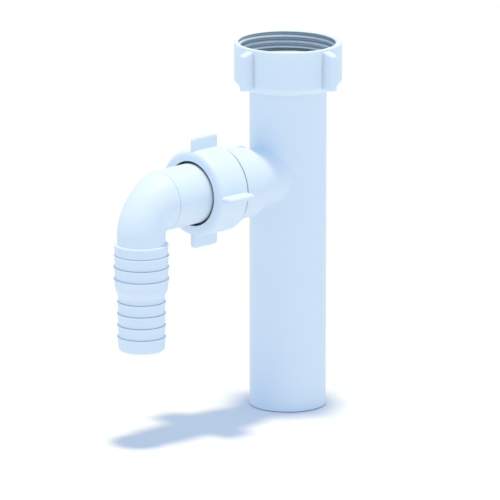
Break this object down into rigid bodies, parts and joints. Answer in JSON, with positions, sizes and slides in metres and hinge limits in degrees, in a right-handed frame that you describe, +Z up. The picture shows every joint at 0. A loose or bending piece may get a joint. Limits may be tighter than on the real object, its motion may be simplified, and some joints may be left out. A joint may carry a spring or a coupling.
{
  "type": "washing machine waste branch",
  "caption": "Straight plastic waste tube with a ribbed union nut on top and a side branch that carries a swivelling stepped hose tail under a winged nut.",
  "frame": {"origin": "centre of the waste tube's lower end", "axes": "+Z up the waste tube to the union nut, -X out along the side branch, Y across it"},
  "size_m": [0.1244, 0.0554, 0.1556],
  "materials": {
    "plastic": "satin pale blue-white polypropylene",
    "nut_plastic": "satin pale blue-white polypropylene",
    "washer_rubber": "pale soft rubber"
  },
  "bodies": {
    "branch": {"branch_body": "plastic", "inlet_washer": "washer_rubber", "side_washer": "washer_rubber"},
    "union_nut": {"inlet_nut": "nut_plastic"},
    "winged_nut": {"side_nut": "nut_plastic"},
    "swivel_elbow": {"hose_elbow": "plastic"}
  },
  "joints": [
    {"name": "inlet_nut_turn", "type": "hinge", "parent": "branch", "child": "union_nut", "pos_m": [0, 0, 0.1469], "axis": [0, 0, 1], "continuous": true},
    {"name": "side_nut_turn", "type": "hinge", "parent": "branch", "child": "winged_nut", "pos_m": [-0.0486, 0, 0.1002], "axis": [1, 0, 0], "continuous": true},
    {"name": "hose_swivel", "type": "hinge", "parent": "branch", "child": "swivel_elbow", "pos_m": [-0.0513, 0, 0.1002], "axis": [1, 0, 0], "continuous": true}
  ]
}
